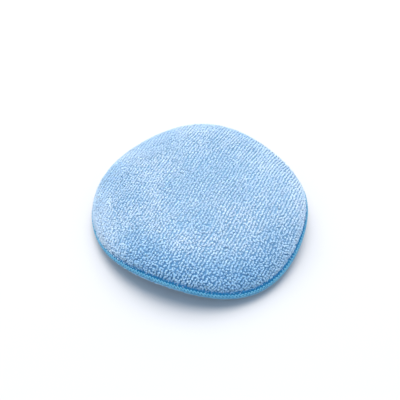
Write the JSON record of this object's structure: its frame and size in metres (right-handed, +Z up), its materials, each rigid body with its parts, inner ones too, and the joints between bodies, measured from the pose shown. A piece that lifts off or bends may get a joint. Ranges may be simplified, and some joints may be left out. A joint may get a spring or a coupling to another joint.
{
  "type": "polishing pad",
  "caption": "Round soft polishing pad with two domed blue terry cloth faces over a foam disc and an overlocked edge.",
  "frame": {"origin": "on the surface the pad lies on, under the middle of its outline", "axes": "+Z up, out of the upper face; -Y towards a viewer in front of the pad, +X to that viewer's right"},
  "size_m": [0.1304, 0.131, 0.0262],
  "materials": {
    "terry_cloth": "matte",
    "foam": "matte",
    "seam_thread": "satin",
    "edge_thread": "satin"
  },
  "bodies": {
    "root": {"face_cloth": "terry_cloth", "back_cloth": "terry_cloth", "foam_core": "foam", "needle_thread": "seam_thread", "upper_looper_thread": "edge_thread", "lower_looper_thread": "edge_thread"}
  },
  "joints": []
}
